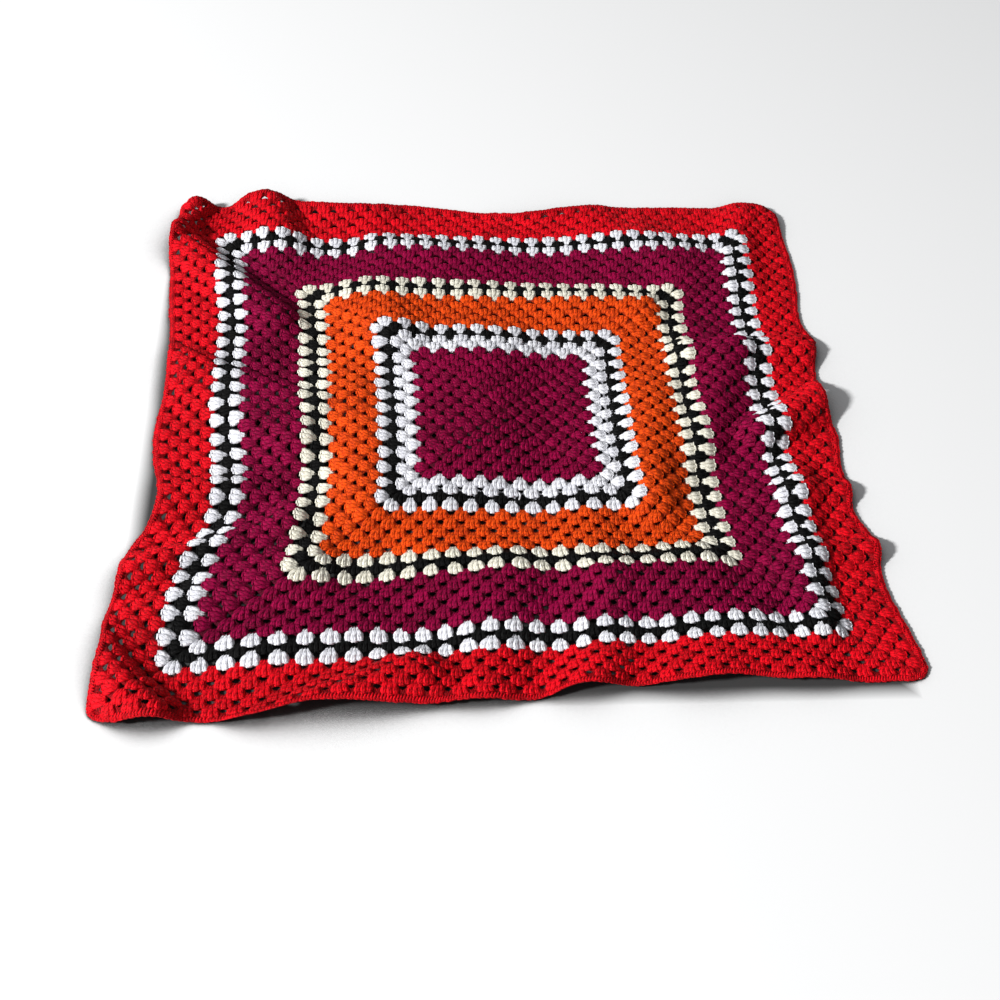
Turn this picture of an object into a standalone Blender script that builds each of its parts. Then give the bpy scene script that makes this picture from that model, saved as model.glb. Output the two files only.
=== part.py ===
"""Granny square blanket: one crocheted square worked in rounds from its centre, laid out flat.

The square is set out in rounds: u runs to the right and v to the back, both counted from the
centre in the height of one round. lie() then sets the square down in its folds, in metres.
"""
from collections import namedtuple

import bmesh
import bpy
import numpy as np

# Driving dimensions
ROUNDS = 35                # rounds of clusters around the centre
ROUND_HEIGHT = 0.013       # one round, measured out from the centre
HALF_SIDE = 35.85          # from the centre to the rim: the rounds and the low edging, in rounds
THICKNESS = 0.004          # two strands of worsted yarn
CELL = 2                   # rounds across one cell of the sheet
CORNER_GAP = 0.35          # from the middle of a corner chain space to its points, in rounds

# How the laid square is pulled out of true
SKEW = 0.012               # the front right corner sits further back
SHRINK = 0.02              # loss of depth, front to back
WAIST = 0.03               # loss of width across the middle
SET_RIGHT = 0.70           # rounds by which the whole square is moved, so that the
SET_BACK = 0.14            # middle of its outline is at the origin
DRAW_REACH = 10.0          # rounds over which a fold's pull on the cloth beside it dies away
CORNER_ROUND = 2.0         # rounds from the rim over which each corner is rounded off

# Every fold is a soft ridge between two places of the square, with a height at each end.
Fold = namedtuple("Fold", "from_u from_v from_height to_u to_v to_height half_width")
FOLDS = (
    # broad swells under the middle of the square
    Fold(-29, 12, 0.8, -14, -2, 1.0, 13.0),
    Fold(-9, 18, 1.1, -5, -2, 0.9, 13.0),
    Fold(14, -6, 0.6, 22, 5, 0.6, 10.0),
    Fold(-5, -23, 0.9, 22, -23, 0.7, 9.0),
    Fold(15, 27, 0.9, 23, 26, 0.9, 10.0),
    # back left corner, which stands up, and the crease running in from it
    Fold(-35, 28, 1.7, -24, 15, 1.4, 4.5),
    Fold(-26, 38, 2.6, -23, 28, 1.2, 5.0),
    Fold(-37, 28, 1.3, -34, 36, 1.6, 3.5),
    Fold(-14, 19, 0.8, -12, 12, 1.2, 6.0),
    Fold(-12, 28, 1.1, 0, 26, 0.5, 4.5),
    # back edge
    Fold(-20, 38, 1.2, -13, 34, 0.6, 4.5),
    Fold(3, 38, 1.2, 12, 34, 0.8, 5.0),
    Fold(31, 38, 1.2, 34, 33, 0.6, 4.0),
    Fold(-1, 19, 0.6, 16, 17, 1.1, 4.5),
    Fold(17, 30, 0.6, 21, 26, 0.6, 5.5),
    Fold(30, 33, 1.1, 29, 22, 0.6, 4.0),
    # left edge
    Fold(-34, 5, 1.2, -22, -3, 1.3, 5.0),
    Fold(-37, 10, 0.9, -20, 1, 0.8, 2.8),
    Fold(-38, -12, 1.0, -27, -10, 0.4, 3.5),
    Fold(-37, -9, 0.6, -24, -10, 0.5, 2.2),
    Fold(-37, -17, 0.7, -32, -19, 0.3, 3.0),
    Fold(-36, -21, 1.7, -22, -15, 1.0, 3.6),
    Fold(-34, -26, 1.1, -20, -20, 1.2, 5.5),
    Fold(-21, -13, 0.7, -8, -12, 0.5, 4.5),
    Fold(-22, 9, -0.5, -19, 10, -0.5, 4.0),
    Fold(-22, -29, 0.6, -15, -26, 0.6, 5.0),
    # middle
    Fold(-16, 2, 0.6, -14, -12, 0.7, 5.0),
    Fold(0, 10, 0.6, -5, -10, 0.5, 8.0),
    Fold(15, 3, 0.6, 14, -13, 1.3, 4.5),
    # right edge
    Fold(21, 9, 1.4, 34, 10, 1.3, 4.0),
    Fold(26, 9, 0.9, 20, -5, 0.8, 4.0),
    Fold(27, -3.5, 2.1, 38, 3, 1.9, 4.0),
    Fold(25, -12.5, 0.7, 37, -11.5, 0.9, 2.4),
    Fold(25, -21, 0.7, 37, -19.5, 1.0, 2.6),
    Fold(30, -10, 1.0, 27, -29, 1.2, 4.0),
    # front edge
    Fold(8, -7, 0.6, 6, -26, 0.6, 5.0),
    Fold(-1, -21, 0.7, -5, -38, 1.0, 5.0),
    Fold(9, -23, 1.3, 17, -21, 0.9, 5.0),
    Fold(4, -38, 1.7, 8, -29, 0.8, 4.5),
    Fold(16, -38, 1.7, 16, -29, 1.0, 8.0),
    Fold(26, -38, 1.0, 21, -29, 0.6, 5.0),
    Fold(-22, -38, 2.3, -10, -33, 1.7, 5.0),
    Fold(-37, -28, 1.2, -31, -35, 1.8, 4.0),
)

# Every tug moves the cloth sideways round one place, over a radius.
Tug = namedtuple("Tug", "u v right back radius")
TUGS = (
    Tug(-35, -31, -1.2, -0.7, 9.0),
    Tug(-37, -36, -0.7, 0.0, 2.0),
    Tug(-37, -28.5, 0.4, 0.0, 2.0),
    Tug(-37, -17, -0.9, 0.0, 3.0),
    Tug(-37, -24, -0.2, 0.0, 3.0),
    Tug(-37, -12, 1.7, 0.0, 4.0),
    Tug(-37, 10, 0.8, 0.0, 5.0),
    Tug(-37, 3.5, 0.5, 0.0, 1.8),
    Tug(-36, 27, -0.3, 0.6, 7.0),
    Tug(-37, 33, 0.8, 0.0, 4.0),
    Tug(-22, 38, 0.0, 1.5, 3.0),
    Tug(-10, 38, 0.0, 1.2, 3.5),
    Tug(4, 38, 0.0, -1.9, 4.0),
    Tug(18, 38, 0.0, 0.5, 4.0),
    Tug(24, 38, 0.0, 0.8, 5.0),
    Tug(14, 38, 0.0, 0.7, 2.5),
    Tug(37, 37, 0.0, 0.5, 5.0),
    Tug(38, 31, -0.6, 0.0, 8.0),
    Tug(33, 27, 0.6, 0.0, 5.0),
    Tug(25, 2, -0.5, 0.0, 4.5),
    Tug(37, 15, -0.8, 0.0, 3.5),
    Tug(37, 3, -1.4, 0.0, 4.0),
    Tug(37, -8, -0.5, 0.0, 3.0),
    Tug(37, -3.5, 0.6, 0.0, 1.8),
    Tug(37, 12, 0.9, 0.0, 1.5),
    Tug(37, -14.5, -0.7, 0.0, 1.8),
    Tug(37, -19, 0.9, 0.0, 3.0),
    Tug(34, -15, -0.9, 0.0, 7.0),
    Tug(37, -24, -0.9, 0.0, 5.0),
    Tug(34, -34, 0.0, 1.4, 8.0),
    Tug(15, -38, 0.0, -0.5, 2.5),
    Tug(-22, -37, 0.0, -0.6, 2.0),
    Tug(-31, -37, 0.0, -0.4, 2.5),
    Tug(7, -39, 0.0, 1.5, 6.0),
    Tug(18, -39, 0.0, 1.7, 5.5),
    Tug(-11, 1, 0.4, -0.1, 8.0),
    Tug(15, -8, -0.5, 0.0, 8.0),
    Tug(-20, -8, 0.5, 0.0, 6.0),
    Tug(-29, -10, 0.6, 0.0, 4.0),
    Tug(-27, -24, -0.7, -0.1, 4.5),
    Tug(-37, -22, 0.6, 0.0, 3.0),
    Tug(-18, -21, 0.0, -0.6, 4.0),
    Tug(10, -27, 0.0, -0.7, 6.0),
    Tug(26, -28, 0.0, -0.6, 4.5),
    Tug(19, 29, 0.0, -0.6, 6.0),
    Tug(-19, 28, -0.2, -0.5, 5.0),
    Tug(20, 20, 0.4, 0.0, 4.0),
    Tug(4, 24, 0.3, 0.1, 10.0),
)


# The cloth bears on the floor at its feet alone. Between them it lies a hair above the
# floor, and the rim, which is firmer, a little higher.
BED_LIFT = 0.01            # under the flat cloth, in rounds
RIM_LIFT = 0.05            # under the rim, in rounds
RIM_START = 28.0           # rounds from the centre where the rim starts to rise
FOOT_RADIUS = 2.0          # the cloth comes down to a foot over this many rounds
Foot = namedtuple("Foot", "u v")
FEET = (
    Foot(-HALF_SIDE, -HALF_SIDE),
    Foot(HALF_SIDE, -HALF_SIDE),
    Foot(HALF_SIDE, 28),
    Foot(-30, 34),
)


def lie(u, v):
    """Positions of the underside of the laid square, in metres, for arrays of u and v in rounds."""
    x = u - WAIST * u * np.cos(np.pi * v / (2 * HALF_SIDE)) + SET_RIGHT
    y = v + SKEW * u - SHRINK * v + SET_BACK
    z = np.zeros_like(x)
    over = np.maximum(np.minimum(np.abs(u), np.abs(v)) - (HALF_SIDE - CORNER_ROUND), 0.0)
    x -= 0.3 * over ** 2 / CORNER_ROUND * np.sign(u)
    y -= 0.3 * over ** 2 / CORNER_ROUND * np.sign(v)
    for fold in FOLDS:
        run_u, run_v = fold.to_u - fold.from_u, fold.to_v - fold.from_v
        along = (u - fold.from_u) * run_u + (v - fold.from_v) * run_v
        along = np.clip(along / (run_u ** 2 + run_v ** 2), 0.0, 1.0)
        off_u = u - fold.from_u - along * run_u
        off_v = v - fold.from_v - along * run_v
        off = np.hypot(off_u, off_v) + 1e-9
        share = np.minimum(off / fold.half_width, 1.0)
        height = fold.from_height + along * (fold.to_height - fold.from_height)
        z += height * 0.5 * (1.0 + np.cos(np.pi * share))
        # the cloth that climbs the ridge is drawn in from beside it, so its length is kept
        drawn = (height * np.pi / 4.0) ** 2 / fold.half_width
        drawn *= share - np.sin(2.0 * np.pi * share) / (2.0 * np.pi)
        drawn *= np.exp(-np.maximum(off - fold.half_width, 0.0) / DRAW_REACH)
        x -= off_u / off * drawn
        y -= off_v / off * drawn
    rim = np.clip((np.maximum(np.abs(u), np.abs(v)) - RIM_START) / (HALF_SIDE - RIM_START), 0.0, 1.0)
    z += BED_LIFT + (RIM_LIFT - BED_LIFT) * rim
    for foot in FEET:
        z *= np.minimum(np.hypot(u - foot.u, v - foot.v) / FOOT_RADIUS, 1.0)
    for tug in TUGS:
        near = np.exp(-((u - tug.u) ** 2 + (v - tug.v) ** 2) / (2.0 * tug.radius ** 2))
        x += tug.right * near
        y += tug.back * near
    return np.stack([x, y, z], axis=-1) * ROUND_HEIGHT


def clear_scene():
    for obj in list(bpy.data.objects):
        bpy.data.objects.remove(obj, do_unlink=True)


def yarn_material():
    material = bpy.data.materials.new("crocheted_yarn")
    material.use_nodes = True
    shader = material.node_tree.nodes["Principled BSDF"]
    shader.inputs["Base Color"].default_value = (0.55, 0.012, 0.02, 1.0)
    shader.inputs["Roughness"].default_value = 0.9
    shader.inputs["Metallic"].default_value = 0.0
    return material


def is_diagonal(place):
    """True for a place on one of the square's two diagonals."""
    return abs(abs(place.x) - abs(place.y)) < 1e-4


def flat_square():
    """The square before it is laid down, in rounds, with the corner chain spaces cut through."""
    cloth = bmesh.new()
    cells = ROUNDS + 1
    grid_half = cells * CELL / 2
    bmesh.ops.create_grid(cloth, x_segments=cells, y_segments=cells, size=grid_half)
    # the cells along the diagonals are halved both ways, so that each round has its own corner
    on_diagonal = [face for face in cloth.faces if is_diagonal(face.calc_center_median())]
    corner_edges = {edge for face in on_diagonal for edge in face.edges}
    bmesh.ops.subdivide_edges(cloth, edges=list(corner_edges), cuts=CELL - 1, use_grid_fill=True)
    # each corner point is opened into a four-pointed chain space
    corners = [v for v in cloth.verts if is_diagonal(v.co) and 0.5 < abs(v.co.x) < ROUNDS + 0.5]
    opened = bmesh.ops.bevel(
        cloth, geom=corners, offset=CORNER_GAP, offset_type="OFFSET", segments=1, profile=0.5,
        affect="VERTICES", material=-1,
    )
    bmesh.ops.delete(cloth, geom=opened["faces"], context="FACES")
    # the outermost row of cells is drawn in to the rim of the edging
    for vert in cloth.verts:
        for axis in (0, 1):
            if abs(vert.co[axis]) > ROUNDS + 0.5:
                vert.co[axis] *= HALF_SIDE / grid_half
    return cloth


def make_blanket(collection):
    cloth = flat_square()
    flat = np.array([vert.co[:2] for vert in cloth.verts])
    for vert, place in zip(cloth.verts, lie(flat[:, 0], flat[:, 1])):
        vert.co = place
        vert.co.z += THICKNESS / 2.0
    # four-sided faces split along their ridges
    bmesh.ops.triangulate(cloth, faces=cloth.faces, quad_method="LONG_EDGE")
    mesh = bpy.data.meshes.new("blanket")
    cloth.to_mesh(mesh)
    cloth.free()
    mesh.shade_smooth()
    mesh.materials.append(yarn_material())
    blanket = bpy.data.objects.new("blanket", mesh)
    collection.objects.link(blanket)
    shell = blanket.modifiers.new("thickness", "SOLIDIFY")
    shell.thickness = THICKNESS
    shell.offset = 0.0
    return blanket


clear_scene()
parts = bpy.data.collections.new("granny_square_blanket")
bpy.context.scene.collection.children.link(parts)
make_blanket(parts)
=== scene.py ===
"""Granny square blanket: crocheted outwards from its middle in six colours of worsted yarn,
finished with one low edging round, and laid out on the floor in soft folds."""
from collections import namedtuple
from math import cos, pi, radians, sin

import bmesh
import bpy
import numpy as np
from mathutils import Matrix, Vector


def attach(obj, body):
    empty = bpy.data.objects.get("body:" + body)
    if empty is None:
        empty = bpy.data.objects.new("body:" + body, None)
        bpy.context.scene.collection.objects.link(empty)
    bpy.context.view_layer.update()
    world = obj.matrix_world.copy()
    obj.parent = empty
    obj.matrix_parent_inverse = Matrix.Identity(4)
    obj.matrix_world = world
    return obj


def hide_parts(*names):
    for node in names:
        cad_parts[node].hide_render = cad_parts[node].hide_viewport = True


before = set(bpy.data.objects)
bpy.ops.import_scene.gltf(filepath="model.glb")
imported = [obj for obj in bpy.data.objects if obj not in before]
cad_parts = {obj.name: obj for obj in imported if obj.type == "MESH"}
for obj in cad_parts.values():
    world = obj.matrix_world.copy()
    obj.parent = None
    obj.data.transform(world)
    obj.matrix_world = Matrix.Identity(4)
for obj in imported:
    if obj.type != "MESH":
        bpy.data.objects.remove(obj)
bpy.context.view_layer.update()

# The square as it lies
# Crochet this loose drapes softly. Laid down, the square rides up in ridges and its edges are
# pulled out of true. It is set out in rounds from its middle: u to the right, v to the back.
ROUND_HEIGHT = 0.013       # one round, measured out from the centre
HALF_SIDE = 35.85          # from the centre to the rim, in rounds
SKEW = 0.012               # the front right corner sits further back
SHRINK = 0.02              # loss of depth, front to back
WAIST = 0.03               # loss of width across the middle
SET_RIGHT = 0.70           # the square's middle, off the middle of its outline, in rounds
SET_BACK = 0.14
DRAW_REACH = 10.0          # rounds over which a fold's pull on the cloth beside it dies away
CORNER_ROUND = 2.0         # rounds from the rim over which each corner is rounded off
CORNER_PULL = 0.3          # and how far the corner is drawn in, as a share of those

# Every fold is a soft ridge between two places of the square, with a height at each end.
Fold = namedtuple("Fold", "from_u from_v from_height to_u to_v to_height half_width")
FOLDS = (
    # broad swells under the middle of the square
    Fold(-29, 12, 0.8, -14, -2, 1.0, 13.0),
    Fold(-9, 18, 1.1, -5, -2, 0.9, 13.0),
    Fold(14, -6, 0.6, 22, 5, 0.6, 10.0),
    Fold(-5, -23, 0.9, 22, -23, 0.7, 9.0),
    Fold(15, 27, 0.9, 23, 26, 0.9, 10.0),
    # back left corner, which stands up, and the crease running in from it
    Fold(-35, 28, 1.7, -24, 15, 1.4, 4.5),
    Fold(-26, 38, 2.6, -23, 28, 1.2, 5.0),
    Fold(-37, 28, 1.3, -34, 36, 1.6, 3.5),
    Fold(-14, 19, 0.8, -12, 12, 1.2, 6.0),
    Fold(-12, 28, 1.1, 0, 26, 0.5, 4.5),
    # back edge
    Fold(-20, 38, 1.2, -13, 34, 0.6, 4.5),
    Fold(3, 38, 1.2, 12, 34, 0.8, 5.0),
    Fold(31, 38, 1.2, 34, 33, 0.6, 4.0),
    Fold(-1, 19, 0.6, 16, 17, 1.1, 4.5),
    Fold(17, 30, 0.6, 21, 26, 0.6, 5.5),
    Fold(30, 33, 1.1, 29, 22, 0.6, 4.0),
    # left edge
    Fold(-34, 5, 1.2, -22, -3, 1.3, 5.0),
    Fold(-37, 10, 0.9, -20, 1, 0.8, 2.8),
    Fold(-38, -12, 1.0, -27, -10, 0.4, 3.5),
    Fold(-37, -9, 0.6, -24, -10, 0.5, 2.2),
    Fold(-37, -17, 0.7, -32, -19, 0.3, 3.0),
    Fold(-36, -21, 1.7, -22, -15, 1.0, 3.6),
    Fold(-34, -26, 1.1, -20, -20, 1.2, 5.5),
    Fold(-21, -13, 0.7, -8, -12, 0.5, 4.5),
    Fold(-22, 9, -0.5, -19, 10, -0.5, 4.0),
    Fold(-22, -29, 0.6, -15, -26, 0.6, 5.0),
    # middle
    Fold(-16, 2, 0.6, -14, -12, 0.7, 5.0),
    Fold(0, 10, 0.6, -5, -10, 0.5, 8.0),
    Fold(15, 3, 0.6, 14, -13, 1.3, 4.5),
    # right edge
    Fold(21, 9, 1.4, 34, 10, 1.3, 4.0),
    Fold(26, 9, 0.9, 20, -5, 0.8, 4.0),
    Fold(27, -3.5, 2.1, 38, 3, 1.9, 4.0),
    Fold(25, -12.5, 0.7, 37, -11.5, 0.9, 2.4),
    Fold(25, -21, 0.7, 37, -19.5, 1.0, 2.6),
    Fold(30, -10, 1.0, 27, -29, 1.2, 4.0),
    # front edge
    Fold(8, -7, 0.6, 6, -26, 0.6, 5.0),
    Fold(-1, -21, 0.7, -5, -38, 1.0, 5.0),
    Fold(9, -23, 1.3, 17, -21, 0.9, 5.0),
    Fold(4, -38, 1.7, 8, -29, 0.8, 4.5),
    Fold(16, -38, 1.7, 16, -29, 1.0, 8.0),
    Fold(26, -38, 1.0, 21, -29, 0.6, 5.0),
    Fold(-22, -38, 2.3, -10, -33, 1.7, 5.0),
    Fold(-37, -28, 1.2, -31, -35, 1.8, 4.0),
)

# Every tug moves the cloth sideways round one place, over a radius.
Tug = namedtuple("Tug", "u v right back radius")
TUGS = (
    Tug(-35, -31, -1.2, -0.7, 9.0),
    Tug(-37, -36, -0.7, 0.0, 2.0),
    Tug(-37, -28.5, 0.4, 0.0, 2.0),
    Tug(-37, -17, -0.9, 0.0, 3.0),
    Tug(-37, -24, -0.2, 0.0, 3.0),
    Tug(-37, -12, 1.7, 0.0, 4.0),
    Tug(-37, 10, 0.8, 0.0, 5.0),
    Tug(-37, 3.5, 0.5, 0.0, 1.8),
    Tug(-36, 27, -0.3, 0.6, 7.0),
    Tug(-37, 33, 0.8, 0.0, 4.0),
    Tug(-22, 38, 0.0, 1.5, 3.0),
    Tug(-10, 38, 0.0, 1.2, 3.5),
    Tug(4, 38, 0.0, -1.9, 4.0),
    Tug(18, 38, 0.0, 0.5, 4.0),
    Tug(24, 38, 0.0, 0.8, 5.0),
    Tug(14, 38, 0.0, 0.7, 2.5),
    Tug(37, 37, 0.0, 0.5, 5.0),
    Tug(38, 31, -0.6, 0.0, 8.0),
    Tug(33, 27, 0.6, 0.0, 5.0),
    Tug(25, 2, -0.5, 0.0, 4.5),
    Tug(37, 15, -0.8, 0.0, 3.5),
    Tug(37, 3, -1.4, 0.0, 4.0),
    Tug(37, -8, -0.5, 0.0, 3.0),
    Tug(37, -3.5, 0.6, 0.0, 1.8),
    Tug(37, 12, 0.9, 0.0, 1.5),
    Tug(37, -14.5, -0.7, 0.0, 1.8),
    Tug(37, -19, 0.9, 0.0, 3.0),
    Tug(34, -15, -0.9, 0.0, 7.0),
    Tug(37, -24, -0.9, 0.0, 5.0),
    Tug(34, -34, 0.0, 1.4, 8.0),
    Tug(15, -38, 0.0, -0.5, 2.5),
    Tug(-22, -37, 0.0, -0.6, 2.0),
    Tug(-31, -37, 0.0, -0.4, 2.5),
    Tug(7, -39, 0.0, 1.5, 6.0),
    Tug(18, -39, 0.0, 1.7, 5.5),
    Tug(-11, 1, 0.4, -0.1, 8.0),
    Tug(15, -8, -0.5, 0.0, 8.0),
    Tug(-20, -8, 0.5, 0.0, 6.0),
    Tug(-29, -10, 0.6, 0.0, 4.0),
    Tug(-27, -24, -0.7, -0.1, 4.5),
    Tug(-37, -22, 0.6, 0.0, 3.0),
    Tug(-18, -21, 0.0, -0.6, 4.0),
    Tug(10, -27, 0.0, -0.7, 6.0),
    Tug(26, -28, 0.0, -0.6, 4.5),
    Tug(19, 29, 0.0, -0.6, 6.0),
    Tug(-19, 28, -0.2, -0.5, 5.0),
    Tug(20, 20, 0.4, 0.0, 4.0),
    Tug(4, 24, 0.3, 0.1, 10.0),
)

# The cloth bears on the floor at its feet alone. Between them it lies a hair above the
# floor, and the rim, which is firmer, a little higher.
BED_LIFT = 0.01            # under the flat cloth, in rounds
RIM_LIFT = 0.05            # under the rim, in rounds
RIM_START = 28.0           # rounds from the centre where the rim starts to rise
FOOT_RADIUS = 2.0          # the cloth comes down to a foot over this many rounds
Foot = namedtuple("Foot", "u v")
FEET = (
    Foot(-HALF_SIDE, -HALF_SIDE),
    Foot(HALF_SIDE, -HALF_SIDE),
    Foot(HALF_SIDE, 28),
    Foot(-30, 34),
)


def lie(u, v):
    """Positions of the underside of the laid square, in metres, for arrays of u and v in rounds."""
    x = u - WAIST * u * np.cos(np.pi * v / (2 * HALF_SIDE)) + SET_RIGHT
    y = v + SKEW * u - SHRINK * v + SET_BACK
    z = np.zeros_like(x)
    over = np.maximum(np.minimum(np.abs(u), np.abs(v)) - (HALF_SIDE - CORNER_ROUND), 0.0)
    x -= CORNER_PULL * over ** 2 / CORNER_ROUND * np.sign(u)
    y -= CORNER_PULL * over ** 2 / CORNER_ROUND * np.sign(v)
    for fold in FOLDS:
        run_u, run_v = fold.to_u - fold.from_u, fold.to_v - fold.from_v
        along = (u - fold.from_u) * run_u + (v - fold.from_v) * run_v
        along = np.clip(along / (run_u ** 2 + run_v ** 2), 0.0, 1.0)
        off_u = u - fold.from_u - along * run_u
        off_v = v - fold.from_v - along * run_v
        off = np.hypot(off_u, off_v) + 1e-9
        share = np.minimum(off / fold.half_width, 1.0)
        height = fold.from_height + along * (fold.to_height - fold.from_height)
        z += height * 0.5 * (1.0 + np.cos(np.pi * share))
        # the cloth that climbs the ridge is drawn in from beside it, so its length is kept
        drawn = (height * np.pi / 4.0) ** 2 / fold.half_width
        drawn *= share - np.sin(2.0 * np.pi * share) / (2.0 * np.pi)
        drawn *= np.exp(-np.maximum(off - fold.half_width, 0.0) / DRAW_REACH)
        x -= off_u / off * drawn
        y -= off_v / off * drawn
    rim = np.clip((np.maximum(np.abs(u), np.abs(v)) - RIM_START) / (HALF_SIDE - RIM_START), 0.0, 1.0)
    z += BED_LIFT + (RIM_LIFT - BED_LIFT) * rim
    for foot in FEET:
        z *= np.minimum(np.hypot(u - foot.u, v - foot.v) / FOOT_RADIUS, 1.0)
    for tug in TUGS:
        near = np.exp(-((u - tug.u) ** 2 + (v - tug.v) ** 2) / (2.0 * tug.radius ** 2))
        x += tug.right * near
        y += tug.back * near
    return np.stack([x, y, z], axis=-1) * ROUND_HEIGHT


NEARBY = 0.05              # rounds to the next place, from which the slope of the cloth is taken


def lay(u, v, lift):
    """Places lift metres above the underside of the laid square, square to the cloth there."""
    foot = lie(u, v)
    across = lie(u + NEARBY, v) - foot
    back = lie(u, v + NEARBY) - foot
    up = np.cross(across, back)
    up /= np.linalg.norm(up, axis=-1, keepdims=True)
    return foot + up * np.asarray(lift)[..., None]


# The yarns
# Worsted acrylic of three plies, spun with a slight sheen and dyed in six colours. All are the
# same yarn, so one node group makes its plies, its loose fibre, the unevenness of its dye and a
# painted shade in the grooves between its plies.
PLY_DEPTH = 0.0007         # from the crown of a ply down to the groove beside it
FIBRE_RELIEF = 1.6         # height of the fibre beside that of a ply
GROOVE_SHARE = 0.8         # painted shade: how much paler the crown of a ply is than the groove beside it
CLUSTER_SHARE = 0.5        # the same for the tone of the cluster
FADE_SHARE = 0.2           # for the long slow fading of the dye
FIBRE_SHARE = 2.6          # and for the fibre
SHARE_SET = 1.73           # taken off their sum, so that most of the yarn is of a middle tone
spun = bpy.data.node_groups.new("spun_plies", "ShaderNodeTree")
for label, kind, start in (
    ("Strand", "NodeSocketVector", None), ("Place", "NodeSocketVector", None),
    ("Tone", "NodeSocketFloat", 0.5), ("Plies", "NodeSocketFloat", 3.0),
    ("Turns", "NodeSocketFloat", 1.0), ("Fibre size", "NodeSocketFloat", 550.0),
    ("Fade size", "NodeSocketFloat", 9.0),
):
    socket = spun.interface.new_socket(label, in_out="INPUT", socket_type=kind)
    if start is not None:
        socket.default_value = start
for label in ("Height", "Painted shade and tone", "Fibre"):
    spun.interface.new_socket(label, in_out="OUTPUT", socket_type="NodeSocketFloat")


def node(tree, kind, links=(), values=(), **settings):
    """A node with its settings, its linked inputs and its set inputs."""
    made = tree.nodes.new(kind)
    for name, value in settings.items():
        setattr(made, name, value)
    for name, value in values:
        made.inputs[name].default_value = value
    for name, source in links:
        tree.links.new(source, made.inputs[name])
    return made


def reckon(tree, operation, first, second=None, third=None):
    """A Math node on sockets or plain numbers, and its result."""
    made = tree.nodes.new("ShaderNodeMath")
    made.operation = operation
    for place, value in enumerate((first, second, third)):
        if isinstance(value, (int, float)):
            made.inputs[place].default_value = value
        elif value is not None:
            tree.links.new(value, made.inputs[place])
    return made.outputs[0]


given = spun.nodes.new("NodeGroupInput").outputs
strand = node(spun, "ShaderNodeSeparateXYZ", [("Vector", given["Strand"])]).outputs
# a ply is half round in section, and runs along the strand and round it
around = reckon(spun, "MULTIPLY", strand["X"], given["Plies"])
along = reckon(spun, "MULTIPLY", strand["Y"], given["Turns"])
phase = reckon(spun, "FRACT", reckon(spun, "ADD", around, along))
across_ply = reckon(spun, "MULTIPLY_ADD", phase, 2.0, -1.0)
section = reckon(spun, "SUBTRACT", 1.0, reckon(spun, "POWER", across_ply, 2.0))
ply = reckon(spun, "SQRT", reckon(spun, "MAXIMUM", section, 0.0))
fibre = node(spun, "ShaderNodeTexNoise", [("Vector", given["Place"]), ("Scale", given["Fibre size"])],
             [("Detail", 3.0), ("Roughness", 0.6)]).outputs["Fac"]
fade = node(spun, "ShaderNodeTexNoise", [("Vector", given["Place"]), ("Scale", given["Fade size"])],
            [("Detail", 2.0)]).outputs["Fac"]
# one share of the paler colour: the dye's fading, the cluster's tone, painted shade in the groove of
# each ply and the fibre
painted_shade_and_tone = reckon(spun, "MULTIPLY", fade, FADE_SHARE)
painted_shade_and_tone = reckon(spun, "MULTIPLY_ADD", given["Tone"], CLUSTER_SHARE, painted_shade_and_tone)
painted_shade_and_tone = reckon(spun, "MULTIPLY_ADD", ply, GROOVE_SHARE, painted_shade_and_tone)
painted_shade_and_tone = reckon(spun, "SUBTRACT", painted_shade_and_tone, SHARE_SET)
painted_shade_and_tone = reckon(spun, "MULTIPLY_ADD", fibre, FIBRE_SHARE, painted_shade_and_tone)
handed = spun.nodes.new("NodeGroupOutput").inputs
spun.links.new(reckon(spun, "MULTIPLY_ADD", fibre, FIBRE_RELIEF, ply), handed["Height"])
spun.links.new(painted_shade_and_tone, handed["Painted shade and tone"])
spun.links.new(fibre, handed["Fibre"])


def yarn(name, lit, deep, sheen=0.01, gloss=0.11):
    """One colour of the yarn: paler on the crown of a ply and with painted shade in the grooves between
    plies, mixed with the tone of the cluster, the fading of the dye and the fibre.
    """
    material = bpy.data.materials.new(name)
    material.use_nodes = True
    tree = material.node_tree
    shader = tree.nodes["Principled BSDF"]
    uv = node(tree, "ShaderNodeUVMap", uv_map="strand").outputs["UV"]
    place = node(tree, "ShaderNodeTexCoord").outputs["Object"]
    tone = node(tree, "ShaderNodeAttribute", attribute_name="tone").outputs["Fac"]
    plies = node(tree, "ShaderNodeGroup", node_tree=spun)
    tree.links.new(uv, plies.inputs["Strand"])
    tree.links.new(place, plies.inputs["Place"])
    tree.links.new(tone, plies.inputs["Tone"])
    # painted shade: from the deep colour in the grooves to the lit one on the crowns
    colour = node(tree, "ShaderNodeMix", data_type="RGBA", clamp_factor=True)
    tree.links.new(plies.outputs["Painted shade and tone"], colour.inputs["Factor"])
    colour.inputs["A"].default_value = (*deep, 1.0)
    colour.inputs["B"].default_value = (*lit, 1.0)
    tree.links.new(colour.outputs["Result"], shader.inputs["Base Color"])
    rough = reckon(tree, "MULTIPLY_ADD", plies.outputs["Fibre"], 0.3, 0.5)
    tree.links.new(rough, shader.inputs["Roughness"])
    relief = node(tree, "ShaderNodeBump", [("Height", plies.outputs["Height"])],
                  [("Strength", 0.9), ("Distance", PLY_DEPTH)])
    tree.links.new(relief.outputs["Normal"], shader.inputs["Normal"])
    shader.inputs["Sheen Weight"].default_value = sheen
    shader.inputs["Sheen Roughness"].default_value = 0.4
    shader.inputs["Specular IOR Level"].default_value = gloss
    return material


# each yarn's lit colour, then its deep one, the painted shade of its grooves
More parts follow.
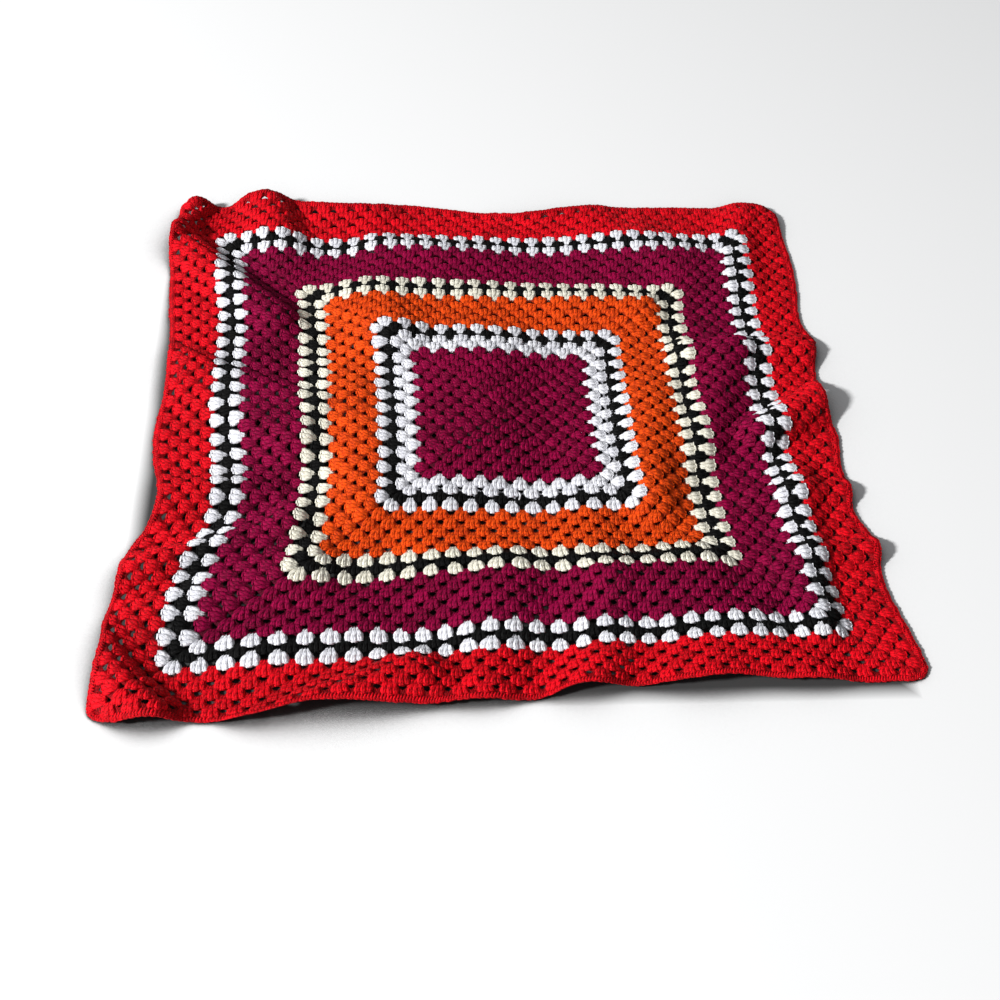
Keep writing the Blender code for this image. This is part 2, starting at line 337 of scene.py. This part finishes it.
YARNS = {
    "berry_yarn": yarn("berry_yarn", (0.34, 0.0010, 0.056), (0.050, 0.0002, 0.008), 0.0, 0.09),
    "white_yarn": yarn("white_yarn", (0.90, 0.90, 0.93), (0.58, 0.58, 0.64)),
    "black_yarn": yarn("black_yarn", (0.008, 0.008, 0.008), (0.001, 0.001, 0.001), 0.0, 0.08),
    "orange_yarn": yarn("orange_yarn", (0.98, 0.098, 0.005), (0.33, 0.019, 0.001)),
    "cream_yarn": yarn("cream_yarn", (0.93, 0.90, 0.78), (0.62, 0.58, 0.47)),
    "red_yarn": yarn("red_yarn", (0.94, 0.0020, 0.013), (0.22, 0.0005, 0.003)),
}

# Ground of the square
# The feet and backs of the stitches lock into one even net of yarn at half the cloth's depth.
# It stays open at the chain spaces: one outside every cluster, and one at each round's corners.
ROUNDS = 35
GROUND_LIFT = 0.0017       # middle of the net, above the cloth's underside
GROUND_THICKNESS = 0.0014
SIDE_SPACE = 0.32          # from the middle of a chain space to its points, in rounds
CORNER_SPACE = 0.30
WIDENING = 0.3             # more than that to the points along the round
SPACE_SET = 0.52           # a side space's middle, outside the cluster's own round
CORNER_SET = -0.15
RAMP = 1.0                 # rounds beside a diagonal over which the one becomes the other
NET_SHORT = 0.1            # the net ends this far inside the rim
NET_TURNS = 2.5            # turns of the plies to a round
SHOWN_OVER = 0.9           # a colour of the net shows on past its last round, under the next
# the same yarns painted darker, a painted shade for the net that lies in the shade of the clusters
SHADE_PAINTED_NET_YARNS = {
    "berry": yarn("berry_yarn_painted_shade", (0.18, 0.0008, 0.028), (0.04, 0.0002, 0.006), 0.0),
    "white": yarn("white_yarn_painted_shade", (0.62, 0.62, 0.65), (0.34, 0.34, 0.38), 0.0),
    "black": yarn("black_yarn_painted_shade", (0.005, 0.005, 0.005), (0.001, 0.001, 0.001), 0.0, 0.08),
    "orange": yarn("orange_yarn_painted_shade", (0.62, 0.050, 0.003), (0.18, 0.011, 0.001), 0.0),
    "red": yarn("red_yarn_painted_shade", (0.56, 0.0012, 0.007), (0.12, 0.0003, 0.002), 0.0),
}
# the colours of the net from the middle out, and the last round of each
GROUND_YARNS = (
    ("berry", 9), ("white", 11), ("black", 13), ("orange", 18),
    ("black", 21), ("berry", 27), ("black", 30), ("red", 36),
)

net = bmesh.new()
strand_uv = net.loops.layers.uv.new("strand")
bmesh.ops.create_grid(net, x_segments=2 * (ROUNDS + 1), y_segments=2 * (ROUNDS + 1), size=ROUNDS + 1)


def on_diagonal(place):
    """Whether a place lies on one of the two diagonals of the square."""
    return abs(abs(place.x) - abs(place.y)) < 0.01


corner_spaces = [v for v in net.verts if on_diagonal(v.co) and 0.5 < abs(v.co.x) < ROUNDS - 0.5]
side_spaces = [
    v for v in net.verts
    if round(abs(v.co.x) + abs(v.co.y)) % 2 and max(abs(v.co.x), abs(v.co.y)) < ROUNDS - 0.5
]
for spaces, reach in ((corner_spaces, CORNER_SPACE), (side_spaces, SIDE_SPACE)):
    opened = bmesh.ops.bevel(net, geom=spaces, offset=reach, offset_type="OFFSET", segments=1,
                             profile=0.5, affect="VERTICES", material=-1)
    bmesh.ops.delete(net, geom=opened["faces"], context="FACES")
for face in net.faces:
    middle = face.calc_center_median()
    shown = max(abs(middle.x), abs(middle.y)) + 0.5
    face.material_index = next(
        i for i, (_, last) in enumerate(GROUND_YARNS) if shown <= last + SHOWN_OVER)
    for loop in face.loops:
        loop[strand_uv].uv = loop.vert.co.xy * NET_TURNS
flat = np.array([v.co[:2] for v in net.verts])
high = np.abs(flat).max(axis=1)
low = np.abs(flat).min(axis=1)
share = np.clip((high - low) / RAMP, 0.0, 1.0)
outward = CORNER_SET + share * (SPACE_SET - CORNER_SET)
on_rim = high > ROUNDS + 0.5
outward = np.where(on_rim, HALF_SIDE - NET_SHORT - high, outward * np.minimum(high, 1.0))
lead_axis = np.abs(flat) >= high[:, None] - 1e-6
# a side space is wider along the round than across it
flat = flat + (flat - np.rint(flat)) * ~lead_axis * WIDENING
flat = flat + np.sign(flat) * lead_axis * outward[:, None]
for vert, place in zip(net.verts, lay(flat[:, 0], flat[:, 1], np.full(len(flat), GROUND_LIFT))):
    vert.co = place
mesh = bpy.data.meshes.new("ground_net")
net.to_mesh(mesh)
net.free()
mesh.shade_smooth()
# the net's colours are the yarns darkened as painted shade
for colour_name, _ in GROUND_YARNS:
    mesh.materials.append(SHADE_PAINTED_NET_YARNS[colour_name])
ground = bpy.data.objects.new("ground_net", mesh)
bpy.context.scene.collection.objects.link(ground)
wall = ground.modifiers.new("thickness", "SOLIDIFY")
wall.thickness = GROUND_THICKNESS
wall.offset = 0.0
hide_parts("blanket")
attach(ground, "root")

# Treble clusters
# Each cluster is three trebles worked into one space, fanned from a tight foot to a rounded
# head. A treble is two strands side by side over a flat back, under one loop of the chain at
# its head. The white and cream yarns are loftier than the others.
Band = namedtuple("Band", "name first last yarn loft")
BANDS = (
    Band("berry_middle", 1, 9, "berry_yarn", 1.02),
    Band("white_zigzag", 10, 11, "white_yarn", 1.10),
    Band("black_round", 12, 12, "black_yarn", 0.98),
    Band("white_round", 13, 13, "white_yarn", 1.10),
    Band("orange_band", 14, 18, "orange_yarn", 1.02),
    Band("cream_inner_round", 19, 19, "cream_yarn", 1.10),
    Band("black_middle_round", 20, 20, "black_yarn", 0.98),
    Band("cream_outer_round", 21, 21, "cream_yarn", 1.10),
    Band("berry_band", 22, 27, "berry_yarn", 1.02),
    Band("white_inner_round", 28, 28, "white_yarn", 1.10),
    Band("black_outer_round", 29, 29, "black_yarn", 0.98),
    Band("white_outer_round", 30, 30, "white_yarn", 1.10),
    Band("red_inner_band", 31, 33, "red_yarn", 1.02),
    Band("red_outer_band", 34, 35, "red_yarn", 1.02),
)
# one treble
POST_LENGTH = 0.0218       # foot to head
STRAND = 0.00128           # half the width of one strand in a post
STRAND_APART = 0.00150     # from the middle of a post to that of either strand
STRAND_DEPTH = 0.0010      # how far a strand rises and falls as it turns round the other
STRAND_START = -0.75       # radians round the post where the first strand starts
BACK_STRAND = 0.0040       # half the width of the flat back of a treble
BACK_FLATNESS = 0.47       # its thickness as a share of its width
LOOP_STRAND = 0.0017       # half the width of the loop at the head
LOOP_LENGTH = 0.008        # of yarn in it
POST_TWIST = 1.5           # radians that the two strands turn round each other
PLY_LEAD = 0.009           # length of yarn in which a ply goes once round
# one cluster
FOOT_LIFT = 0.0010         # middle of the post above the cloth's underside, at the foot
BELLY_LIFT = 0.0034        # the same where it stands out most
HEAD_LIFT = 0.0026         # and at the head, which leans back
BELLY_AT = 0.65            # share of the height where it stands out most
FOOT = -1.35               # foot and head of a cluster, in rounds out from its own round
HEAD = 0.42
FOOT_SPREAD = 0.15         # between the middles of two trebles, in rounds
WIDE_SPREAD = 0.46
HEAD_SPREAD = 0.39
WIDE_AT = 0.78             # share of the height where the cluster is widest
FOOT_GIRTH = 0.68          # thickness of a treble at its foot, beside the sizes above
WIDE_GIRTH = 0.42          # what it gains up to the widest place
HEAD_GIRTH = 0.04          # and loses again up to the head
OUTER_SHORT = 0.12         # the outer trebles end this much short of the middle one
CROWN = 0.0006             # the middle treble stands this much above the outer ones
LOWEST = 0.0002            # no stitch comes nearer the cloth's underside than this
CORNER_FOOT_OUT = 0.34     # in a corner space the foot is this much further out, in rounds
CORNER_HEAD_OUT = 0.12     # and the head this much
CORNER_FOOT_IN = 0.12      # the foot is this much nearer the middle of its side
CORNER_HEAD_BACK = 0.06    # and the head leans this much back towards the corner
FOOT_NEAREST = 0.12        # the feet of the first round are this far from the middle


def strand_of(shape, middle, half_width, sides, bands, length, flatness=1.0):
    """Rolls a small grid into a strand along middle(s), pointed at both ends, s from 0 to 1."""
    roll = bmesh.new()
    turns = roll.loops.layers.uv.new("strand")
    bmesh.ops.create_grid(roll, x_segments=sides, y_segments=bands, size=1.0)
    # the bands lie closer together towards the two ends, which rounds them
    for face in roll.faces:
        for loop in face.loops:
            s = 0.5 + 0.5 * sin(pi / 2 * loop.vert.co.y)
            loop[turns].uv = ((loop.vert.co.x + 1) / 2, s * length / PLY_LEAD)
    for vert in roll.verts:
        angle, s = pi * vert.co.x, 0.5 + 0.5 * sin(pi / 2 * vert.co.y)
        ahead = Vector(middle(min(s + 0.01, 1.0))) - Vector(middle(max(s - 0.01, 0.0)))
        side = ahead.cross(Vector((0, 0, 1))).normalized()
        up = side.cross(ahead).normalized()
        reach = half_width(s)
        vert.co = Vector(middle(s)) + side * (reach * cos(angle)) + up * (reach * flatness * sin(angle))
    bmesh.ops.remove_doubles(roll, verts=roll.verts, dist=1e-6)
    bmesh.ops.recalc_face_normals(roll, faces=roll.faces)
    made = bpy.data.meshes.new("strand")
    roll.to_mesh(made)
    roll.free()
    shape.from_mesh(made)
    bpy.data.meshes.remove(made)


def post_strand(start):
    """One of the two strands of a post, which turn round each other from foot to head."""
    def middle(s):
        turn = start + POST_TWIST * s
        return (STRAND_APART * cos(turn), POST_LENGTH * s, 0.0002 + STRAND_DEPTH * sin(turn))
    return middle


def back_strand(s):
    """The back of a treble, straight from foot to head."""
    return (0.0, POST_LENGTH * (0.03 + 0.95 * s), -0.0001)


def head_loop(s):
    """The loop of the chain that lies over the head of a treble."""
    bend = sin(pi * s)
    return (-0.0036 + 0.0072 * s, POST_LENGTH - 0.0030 + 0.0018 * bend, -0.0004 + 0.0010 * bend)


def swell(width, bluntness=2.0):
    """Half the width of a strand along its length, closed at both ends."""
    def half_width(s):
        return width * max(0.0, 1.0 - abs(2.0 * s - 1.0) ** bluntness) ** 0.5
    return half_width


treble = bmesh.new()
strand_of(treble, back_strand, swell(BACK_STRAND, 4.0), 4, 4, POST_LENGTH, BACK_FLATNESS)
for start in (STRAND_START, pi + STRAND_START):
    strand_of(treble, post_strand(start), swell(STRAND, 3.5), 4, 4, POST_LENGTH)
strand_of(treble, head_loop, swell(LOOP_STRAND), 4, 3, LOOP_LENGTH)
treble_mesh = bpy.data.meshes.new("treble")
treble.to_mesh(treble_mesh)
treble.free()


def joined(name, template, places, tones):
    """One piece made of many copies of a template, with the points of every copy given."""
    count, points = places.shape[:2]
    corner_points = np.zeros(len(template.loops), np.int32)
    template.loops.foreach_get("vertex_index", corner_points)
    sizes = np.zeros(len(template.polygons), np.int32)
    template.polygons.foreach_get("loop_total", sizes)
    uvs = np.zeros(len(template.loops) * 2, np.float32)
    template.uv_layers[0].data.foreach_get("uv", uvs)
    made = bpy.data.meshes.new(name)
    made.vertices.add(count * points)
    made.vertices.foreach_set("co", places.ravel())
    made.loops.add(count * len(corner_points))
    numbers = corner_points + np.arange(count)[:, None] * points
    made.loops.foreach_set("vertex_index", numbers.ravel())
    made.polygons.add(count * len(sizes))
    starts = np.concatenate([[0], np.cumsum(np.tile(sizes, count))[:-1]])
    made.polygons.foreach_set("loop_start", starts.astype(np.int32))
    layer = made.uv_layers.new(name="strand")
    layer.data.foreach_set("uv", np.tile(uvs, count))
    tone = made.attributes.new("tone", "FLOAT", "POINT")
    tone.data.foreach_set("value", np.repeat(tones, points).astype(np.float32))
    made.update(calc_edges=True)
    made.validate()
    made.shade_smooth()
    piece = bpy.data.objects.new(name, made)
    bpy.context.scene.collection.objects.link(piece)
    return piece


def points_of(template):
    """The points of a mesh, one row each."""
    co = np.zeros(len(template.vertices) * 3)
    template.vertices.foreach_get("co", co)
    return co.reshape(-1, 3)


# the four sides of the square: which way each runs, and which way is outward
Side = namedtuple("Side", "name along outward")
SIDES = (
    Side("back", (1, 0), (0, 1)),
    Side("right", (0, -1), (1, 0)),
    Side("front", (-1, 0), (0, -1)),
    Side("left", (0, 1), (-1, 0)),
)
along_axes = np.array([side.along for side in SIDES], float)
outward_axes = np.array([side.outward for side in SIDES], float)
# every cluster: its side, its round and its place along the side
rows = [
    (side, n, 2 * k - (n - 1))
    for n in range(1, ROUNDS + 1) for side in range(len(SIDES)) for k in range(n)
]
side_of, round_of, place_of = np.array(rows).T
hand = np.random.default_rng(35)
uneven = {
    "place": hand.normal(0.0, 0.045, len(rows)), "foot": hand.normal(0.0, 0.045, len(rows)),
    "head": hand.normal(0.0, 0.05, len(rows)), "lean": hand.normal(0.0, 0.07, len(rows)),
    "width": hand.normal(1.0, 0.05, len(rows)), "lift": hand.normal(0.0, 0.00022, len(rows)),
    "tone": np.clip(hand.normal(0.5, 0.17, len(rows)), 0.0, 1.0),
}
# the first and last cluster of a side are worked into the corner space
corner = np.sign(place_of) * ((np.abs(place_of) == round_of - 1) & (round_of > 1))
foot = round_of + FOOT + uneven["foot"] + np.where(corner != 0, CORNER_FOOT_OUT, 0.0)
foot = np.maximum(foot, FOOT_NEAREST)
head = round_of + HEAD + uneven["head"] + np.where(corner != 0, CORNER_HEAD_OUT, 0.0)
foot_place = place_of + uneven["place"] - CORNER_FOOT_IN * corner
head_place = foot_place + uneven["lean"] + CORNER_HEAD_BACK * corner
post = points_of(treble_mesh)


def work_clusters(chosen, loft):
    """Places of all the points of the chosen clusters' trebles, three trebles to a cluster."""
    cluster = np.repeat(np.flatnonzero(chosen), 3)
    which = np.tile([-1.0, 0.0, 1.0], len(cluster) // 3)
    t = (post[:, 1] / POST_LENGTH)[None, :]
    row = cluster[:, None]
    # the fan opens almost evenly from the foot, then closes a little over the head
    rise = np.clip(t / WIDE_AT, 0.0, 1.0)
    rise = 0.75 * rise + 0.25 * np.sin(pi / 2 * rise)
    fall = 1.0 - np.cos(pi / 2 * np.clip((t - WIDE_AT) / (1.0 - WIDE_AT), 0.0, 1.0))
    spread = FOOT_SPREAD + (WIDE_SPREAD - FOOT_SPREAD) * rise - (WIDE_SPREAD - HEAD_SPREAD) * fall
    spread = spread * uneven["width"][row] * loft
    girth = (FOOT_GIRTH + WIDE_GIRTH * rise - HEAD_GIRTH * fall) * loft
    reach = (head - foot)[row] * (0.5 + 0.5 * loft) - OUTER_SHORT * np.abs(which)[:, None]
    a = foot_place[row] + (head_place - foot_place)[row] * t + which[:, None] * spread
    a = a + post[None, :, 0] / ROUND_HEIGHT * girth * uneven["width"][row]
    r = foot[row] + reach * t
    # the treble climbs from its foot, stands out most at the belly and leans back at its head
    below = np.clip(1.0 - t / BELLY_AT, 0.0, 1.0)
    above_belly = np.clip((t - BELLY_AT) / (1.0 - BELLY_AT), 0.0, 1.0)
    lift = BELLY_LIFT - (BELLY_LIFT - FOOT_LIFT) * below ** 1.5
    lift = lift - (BELLY_LIFT - HEAD_LIFT) * above_belly ** 2
    lift = lift + uneven["lift"][row] * t + post[None, :, 2] * girth
    lift = lift + CROWN * (0.4 - np.abs(which))[:, None] * rise
    along_axis = along_axes[side_of[cluster]]
    out_axis = outward_axes[side_of[cluster]]
    u = a * along_axis[:, :1] + r * out_axis[:, :1]
    v = a * along_axis[:, 1:] + r * out_axis[:, 1:]
    return lay(u, v, np.maximum(lift, LOWEST)), uneven["tone"][cluster]


for band in BANDS:
    places, tones = work_clusters((round_of >= band.first) & (round_of <= band.last), band.loft)
    piece = joined(band.name, treble_mesh, places, tones)
    piece.data.materials.append(YARNS[band.yarn])
    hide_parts("blanket")
    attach(piece, "root")

# Edging
# One low round of short stitches in the red yarn, worked over the last round's chain, draws
# the rim in to a firm cord.
EDGE_STITCHES = 140        # along one side
EDGE_END = 35.5            # rounds to the last stitch of a side, which meets the next one's first
EDGE_FOOT = 35.10          # where the stitches start, in rounds from the middle
EDGE_LIFT = 0.0017         # middle of a stitch above the cloth's underside
LEG_STARTS = (-0.0030, 0.0003)   # the two legs of a stitch, side by side
LEG_LENGTH = 0.0092
LEG_LEAN = 0.0026          # how far a leg slopes along the side
LEG_STRAND = 0.0024        # half the width of a leg
LEG_FLATNESS = 0.65


def edge_leg(start):
    """One leg of a short stitch, sloping a little along the side."""
    def middle(s):
        return (start + LEG_LEAN * s, LEG_LENGTH * s, 0.0002 + 0.0008 * sin(pi * s))
    return middle


def edge_loop(s):
    """The loop of the chain over the head of a short stitch."""
    return (-0.0050 + 0.0100 * s, 0.0082 + 0.0007 * sin(pi * s), 0.0002 + 0.0006 * sin(pi * s))


edge = bmesh.new()
for start in LEG_STARTS:
    strand_of(edge, edge_leg(start), swell(LEG_STRAND, 3.0), 4, 4, LEG_LENGTH, LEG_FLATNESS)
strand_of(edge, edge_loop, swell(0.0010), 4, 4, 0.010)
edge_mesh = bpy.data.meshes.new("edge_stitch")
edge.to_mesh(edge_mesh)
edge.free()
edge_points = points_of(edge_mesh)
step = np.linspace(-EDGE_END, EDGE_END, EDGE_STITCHES)
u_all, v_all = [], []
for along_axis, out_axis in zip(along_axes, outward_axes):
    a = step[:, None] + edge_points[None, :, 0] / ROUND_HEIGHT
    r = EDGE_FOOT + hand.normal(1.0, 0.05, (len(step), 1)) * edge_points[None, :, 1] / ROUND_HEIGHT
    u_all.append(a * along_axis[0] + r * out_axis[0])
    v_all.append(a * along_axis[1] + r * out_axis[1])
u, v = np.concatenate(u_all), np.concatenate(v_all)
places = lay(u, v, np.broadcast_to(EDGE_LIFT + edge_points[None, :, 2], u.shape))
edging = joined("edging", edge_mesh, places, np.clip(hand.normal(0.2, 0.2, len(u)), 0.0, 1.0))
edging.data.materials.append(YARNS["red_yarn"])
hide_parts("blanket")
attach(edging, "root")

# Loose end
# Where the white yarn of the eleventh round was finished off, its end was left standing out of
# the front. It hangs over the black round.
END_FROM = (0.69, -10.84)  # where it leaves the cloth, in rounds
END_LENGTH = 0.018


def end_of_yarn(s):
    """The end bends forward and down as it leaves the cloth."""
    return (0.0091 * s * (1.0 - s) - 0.0013 * s, -0.0113 * s * (1.0 - s) - 0.0152 * s * s,
            0.0046 + 0.0034 * s)


end = bmesh.new()
strand_of(end, end_of_yarn, swell(0.0011, 6.0), 6, 8, END_LENGTH)
end_mesh = bpy.data.meshes.new("yarn_end")
end.to_mesh(end_mesh)
end.free()
end_points = points_of(end_mesh)
places = lay(END_FROM[0] + end_points[:, 0] / ROUND_HEIGHT,
             END_FROM[1] + end_points[:, 1] / ROUND_HEIGHT, end_points[:, 2])
loose_end = joined("loose_end", end_mesh, places[None], np.array([0.6]))
loose_end.data.materials.append(YARNS["white_yarn"])
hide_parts("blanket")
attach(loose_end, "root")

# Floor and light
# A plain pale floor, one soft lamp to the left and a little in front, and a pale sky. A painted
# shadow darkens the floor's colour under the cloth and where the cloth comes near it, so that the
# chain spaces read as holes.
SHADE_REACH = 0.10         # within this distance of the cloth the floor is darkened by painted shadow
RIM_INNER = 0.430          # from the middle, where the painted shadow under the cloth starts to give way
RIM_OUTER = 0.452          # and where the pale floor starts
bpy.ops.mesh.primitive_plane_add(size=12.0, location=(0, 0, 0))
floor = bpy.context.object
floor.name = "floor"
pale = bpy.data.materials.new("pale_floor")
pale.use_nodes = True
pale_tree = pale.node_tree
spot = node(pale_tree, "ShaderNodeSeparateXYZ",
            [("Vector", node(pale_tree, "ShaderNodeTexCoord").outputs["Object"])]).outputs
off_middle = reckon(pale_tree, "MAXIMUM", reckon(pale_tree, "ABSOLUTE", spot["X"]),
                    reckon(pale_tree, "ABSOLUTE", spot["Y"]))
# painted shadow: a dark square under the cloth that gives way towards the rim
outside = node(pale_tree, "ShaderNodeMapRange", [("Value", off_middle)],
               [("From Min", RIM_INNER), ("From Max", RIM_OUTER)]).outputs["Result"]
# and painted shadow wherever the cloth comes near the floor
open_sky = node(pale_tree, "ShaderNodeAmbientOcclusion", samples=6,
                values=[("Distance", SHADE_REACH)])
unshaded = node(pale_tree, "ShaderNodeMapRange", [("Value", open_sky.outputs["AO"])],
                [("From Min", 0.60), ("From Max", 0.88)]).outputs["Result"]
free_of_painted_shadow = reckon(pale_tree, "MULTIPLY", outside, unshaded)
shade = node(pale_tree, "ShaderNodeMix", data_type="RGBA", clamp_factor=True)
pale_tree.links.new(free_of_painted_shadow, shade.inputs["Factor"])
# the painted shadow's colour, then the pale floor's
shade.inputs["A"].default_value = (0.04, 0.04, 0.04, 1.0)
shade.inputs["B"].default_value = (0.93, 0.93, 0.93, 1.0)
pale_shader = pale_tree.nodes["Principled BSDF"]
pale_tree.links.new(shade.outputs["Result"], pale_shader.inputs["Base Color"])
pale_shader.inputs["Roughness"].default_value = 0.9
floor.data.materials.append(pale)

lamp_data = bpy.data.lights.new("key", "AREA")
lamp_data.shape = "DISK"
lamp_data.size = 1.0
lamp_data.energy = 1190.0
lamp = bpy.data.objects.new("key", lamp_data)
lamp.location = (-6.9, -2.5, 4.4)
lamp.rotation_euler = (-lamp.location).to_track_quat("-Z", "Y").to_euler()
bpy.context.scene.collection.objects.link(lamp)

sky = bpy.data.worlds.new("sky")
sky.use_nodes = True
sky.node_tree.nodes["Background"].inputs["Color"].default_value = (0.96, 0.98, 1.0, 1.0)
sky.node_tree.nodes["Background"].inputs["Strength"].default_value = 0.24
bpy.context.scene.world = sky
bpy.context.scene.view_settings.view_transform = "Standard"

# Camera
# A hand-held view of the whole square from in front, from chest height.
CAMERA_AIM = (-0.34, -11.09)   # the place on the floor that it points at, in rounds
CAMERA_DISTANCE = 132.7        # from there, in rounds
CAMERA_FALL = radians(47.18)   # how steeply it looks down
CAMERA_YAW = radians(-7.77)
CAMERA_ROLL = radians(5.28)
SENSOR_WIDTH = 36.0
CAMERA_LENS = 1.39 * SENSOR_WIDTH
turn = Matrix.Rotation(CAMERA_YAW, 3, "Z")
ahead = turn @ Vector((0, cos(CAMERA_FALL), -sin(CAMERA_FALL)))
level = turn @ Vector((1, 0, 0))
above = level.cross(ahead)
right = cos(CAMERA_ROLL) * level + sin(CAMERA_ROLL) * above
over = cos(CAMERA_ROLL) * above - sin(CAMERA_ROLL) * level
camera_data = bpy.data.cameras.new("camera")
camera_data.lens = CAMERA_LENS
camera_data.sensor_width = SENSOR_WIDTH
camera = bpy.data.objects.new("camera", camera_data)
facing = Matrix((right, over, -ahead)).transposed().to_4x4()
stand = (Vector((*CAMERA_AIM, 0.0)) - ahead * CAMERA_DISTANCE) * ROUND_HEIGHT
camera.matrix_world = Matrix.Translation(stand) @ facing
bpy.context.scene.collection.objects.link(camera)
bpy.context.scene.camera = camera
